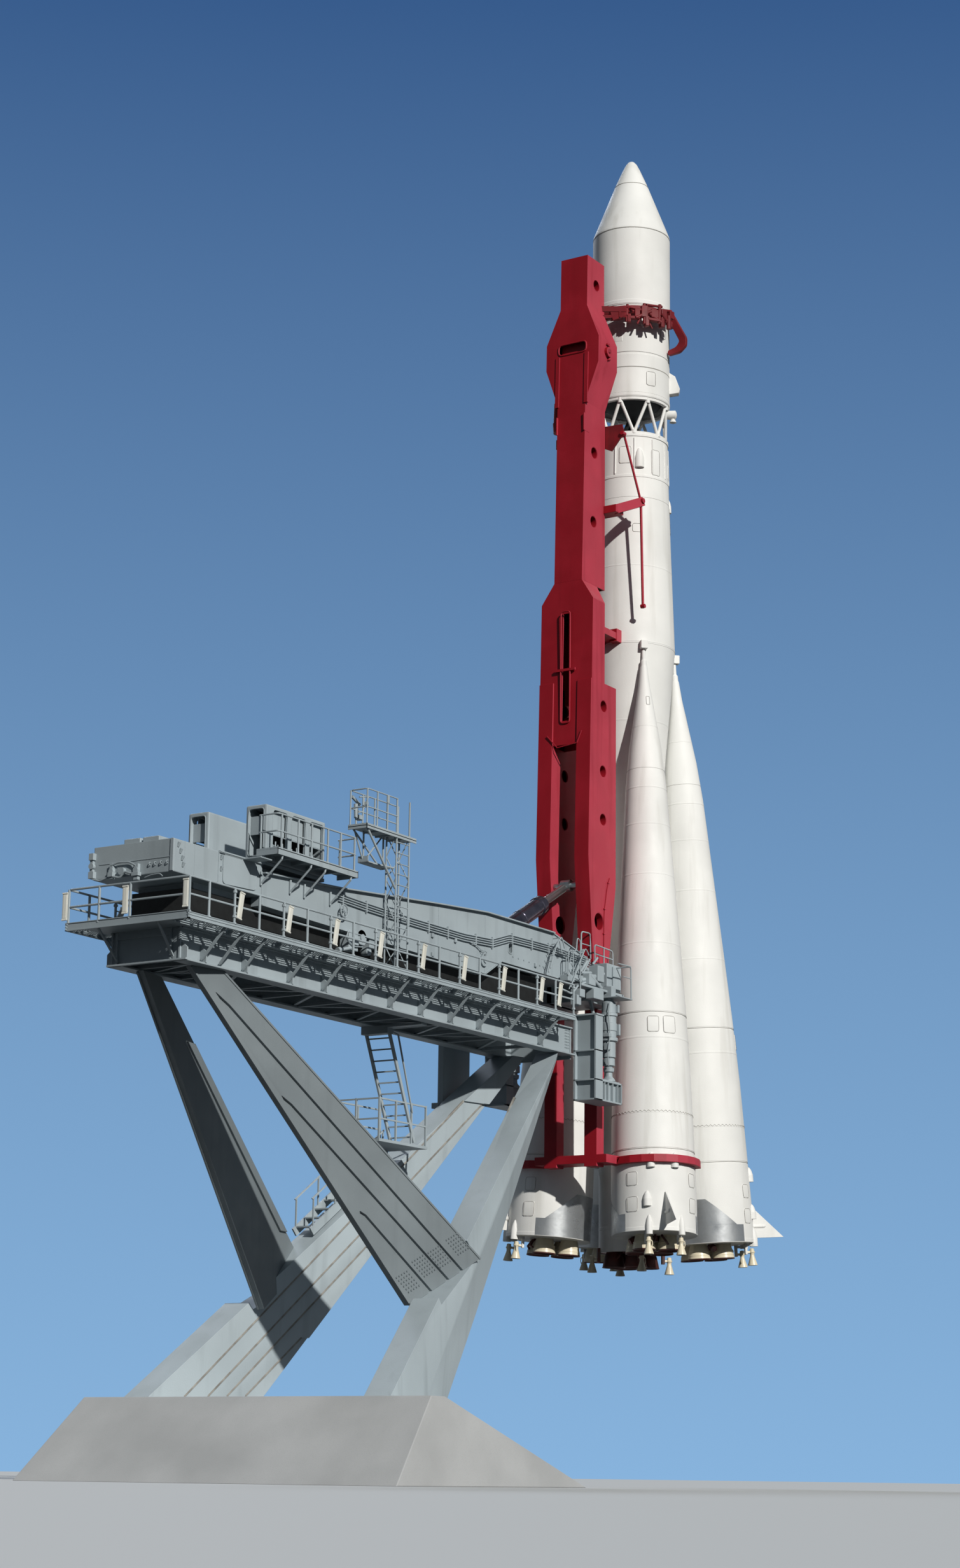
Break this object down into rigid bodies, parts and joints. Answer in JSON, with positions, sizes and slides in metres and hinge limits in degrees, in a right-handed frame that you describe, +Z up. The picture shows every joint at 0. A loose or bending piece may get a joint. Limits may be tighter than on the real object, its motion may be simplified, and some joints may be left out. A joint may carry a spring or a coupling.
{
  "type": "scale model of a space rocket on its erector and platform, 1:2",
  "caption": "Space rocket with strap-on boosters, held upright by a red erector boom on a grey girder platform with splayed legs and a plinth.",
  "frame": {"origin": "centre of the plinth's underside", "axes": "+Z up; +X along the platform, away from the rocket; +Y to the side of the ladder tower and walkway"},
  "size_m": [14.797, 6.08, 22.523],
  "materials": {
    "rocket_white": "warm white paint over aluminium, satin",
    "engine_metal": "dark red-brown heat-stained metal, matt",
    "chamber_cream": "cream enamel, satin",
    "erector_red": "deep red paint, weathered satin",
    "platform_grey": "blue-grey paint, weathered satin",
    "bright_steel": "bare and grey-painted steel",
    "plinth_concrete": "pale smooth stone cladding"
  },
  "bodies": {
    "launcher": {"payload_fairing": "rocket_white", "third_stage": "rocket_white", "interstage_truss": "rocket_white", "core_stage": "rocket_white", "booster_1_body": "rocket_white", "booster_2_body": "rocket_white", "booster_3_body": "rocket_white", "booster_4_body": "rocket_white", "third_stage_engine": "engine_metal", "core_engine": "engine_metal", "running_gear": "engine_metal", "booster_1_engine": "engine_metal", "booster_2_engine": "engine_metal", "booster_3_engine": "engine_metal", "booster_4_engine": "engine_metal", "boom_mast": "erector_red", "boom_lower": "erector_red", "fairing_collar": "erector_red", "tip_arms": "erector_red", "core_pad_arm": "erector_red", "lower_frame": "erector_red", "transporter_frame": "platform_grey", "rear_box": "platform_grey", "cabin_near": "platform_grey", "cabin_far": "platform_grey", "cabin_base": "platform_grey", "walkway": "platform_grey", "ladder_tower": "platform_grey", "end_machinery": "platform_grey", "platform": "platform_grey", "deck_railing": "platform_grey", "end_column_near": "platform_grey", "end_column_far": "platform_grey", "leg_near": "platform_grey", "leg_far": "platform_grey", "brace_near": "platform_grey", "brace_far": "platform_grey", "stairs": "platform_grey", "lift_cylinder": "bright_steel", "lift_rod": "bright_steel", "jack_near": "bright_steel", "jack_far": "bright_steel", "plinth": "plinth_concrete"},
    "booster_1_fin": {"booster_1_fin": "rocket_white"},
    "booster_1_vernier_1": {"booster_1_vernier_1": "chamber_cream"},
    "booster_1_vernier_2": {"booster_1_vernier_2": "chamber_cream"},
    "booster_2_fin": {"booster_2_fin": "rocket_white"},
    "booster_2_vernier_1": {"booster_2_vernier_1": "chamber_cream"},
    "booster_2_vernier_2": {"booster_2_vernier_2": "chamber_cream"},
    "booster_3_fin": {"booster_3_fin": "rocket_white"},
    "booster_3_vernier_1": {"booster_3_vernier_1": "chamber_cream"},
    "booster_3_vernier_2": {"booster_3_vernier_2": "chamber_cream"},
    "booster_4_fin": {"booster_4_fin": "rocket_white"},
    "booster_4_vernier_1": {"booster_4_vernier_1": "chamber_cream"},
    "booster_4_vernier_2": {"booster_4_vernier_2": "chamber_cream"},
    "core_vernier_1": {"core_vernier_1": "chamber_cream"},
    "core_vernier_2": {"core_vernier_2": "chamber_cream"},
    "core_vernier_3": {"core_vernier_3": "chamber_cream"},
    "core_vernier_4": {"core_vernier_4": "chamber_cream"}
  },
  "joints": [
    {"name": "booster_1_fin_turn", "type": "hinge", "parent": "launcher", "child": "booster_1_fin", "pos_m": [-7.42746, 1.43754, 4.12128], "axis": [0.7057, 0.7057, 0.064], "range_deg": [-20, 20]},
    {"name": "booster_1_vernier_1_swing", "type": "hinge", "parent": "launcher", "child": "booster_1_vernier_1", "pos_m": [-7.67322, 1.55948, 3.68979], "axis": [0.7057, 0.7057, 0.064], "range_deg": [-45, 45]},
    {"name": "booster_1_vernier_2_swing", "type": "hinge", "parent": "launcher", "child": "booster_1_vernier_2", "pos_m": [-7.30552, 1.19178, 3.68979], "axis": [0.7057, 0.7057, 0.064], "range_deg": [-45, 45]},
    {"name": "booster_2_fin_turn", "type": "hinge", "parent": "launcher", "child": "booster_2_fin", "pos_m": [-10.30254, 1.43754, 4.12128], "axis": [-0.7057, 0.7057, 0.064], "range_deg": [-20, 20]},
    {"name": "booster_2_vernier_1_swing", "type": "hinge", "parent": "launcher", "child": "booster_2_vernier_1", "pos_m": [-10.42448, 1.19178, 3.68979], "axis": [-0.7057, 0.7057, 0.064], "range_deg": [-45, 45]},
    {"name": "booster_2_vernier_2_swing", "type": "hinge", "parent": "launcher", "child": "booster_2_vernier_2", "pos_m": [-10.05678, 1.55948, 3.68979], "axis": [-0.7057, 0.7057, 0.064], "range_deg": [-45, 45]},
    {"name": "booster_3_fin_turn", "type": "hinge", "parent": "launcher", "child": "booster_3_fin", "pos_m": [-10.30254, -1.43754, 4.12128], "axis": [-0.7057, -0.7057, 0.064], "range_deg": [-20, 20]},
    {"name": "booster_3_vernier_1_swing", "type": "hinge", "parent": "launcher", "child": "booster_3_vernier_1", "pos_m": [-10.05678, -1.55948, 3.68979], "axis": [-0.7057, -0.7057, 0.064], "range_deg": [-45, 45]},
    {"name": "booster_3_vernier_2_swing", "type": "hinge", "parent": "launcher", "child": "booster_3_vernier_2", "pos_m": [-10.42448, -1.19178, 3.68979], "axis": [-0.7057, -0.7057, 0.064], "range_deg": [-45, 45]},
    {"name": "booster_4_fin_turn", "type": "hinge", "parent": "launcher", "child": "booster_4_fin", "pos_m": [-7.42746, -1.43754, 4.12128], "axis": [0.7057, -0.7057, 0.064], "range_deg": [-20, 20]},
    {"name": "booster_4_vernier_1_swing", "type": "hinge", "parent": "launcher", "child": "booster_4_vernier_1", "pos_m": [-7.30552, -1.19178, 3.68979], "axis": [0.7057, -0.7057, 0.064], "range_deg": [-45, 45]},
    {"name": "booster_4_vernier_2_swing", "type": "hinge", "parent": "launcher", "child": "booster_4_vernier_2", "pos_m": [-7.67322, -1.55948, 3.68979], "axis": [0.7057, -0.7057, 0.064], "range_deg": [-45, 45]},
    {"name": "core_vernier_1_swing", "type": "hinge", "parent": "launcher", "child": "core_vernier_1", "pos_m": [-8.41245, 0.45255, 3.523], "axis": [0.7071, 0.7071, 0], "range_deg": [-45, 45]},
    {"name": "core_vernier_2_swing", "type": "hinge", "parent": "launcher", "child": "core_vernier_2", "pos_m": [-9.31755, 0.45255, 3.523], "axis": [-0.7071, 0.7071, 0], "range_deg": [-45, 45]},
    {"name": "core_vernier_3_swing", "type": "hinge", "parent": "launcher", "child": "core_vernier_3", "pos_m": [-9.31755, -0.45255, 3.523], "axis": [-0.7071, -0.7071, 0], "range_deg": [-45, 45]},
    {"name": "core_vernier_4_swing", "type": "hinge", "parent": "launcher", "child": "core_vernier_4", "pos_m": [-8.41245, -0.45255, 3.523], "axis": [0.7071, -0.7071, 0], "range_deg": [-45, 45]}
  ],
  "couplings": [
    {"joint": "booster_1_vernier_2_swing", "follows": "booster_1_vernier_1_swing", "ratio": 1},
    {"joint": "booster_2_vernier_2_swing", "follows": "booster_2_vernier_1_swing", "ratio": 1},
    {"joint": "booster_3_vernier_2_swing", "follows": "booster_3_vernier_1_swing", "ratio": 1},
    {"joint": "booster_4_vernier_2_swing", "follows": "booster_4_vernier_1_swing", "ratio": 1}
  ]
}
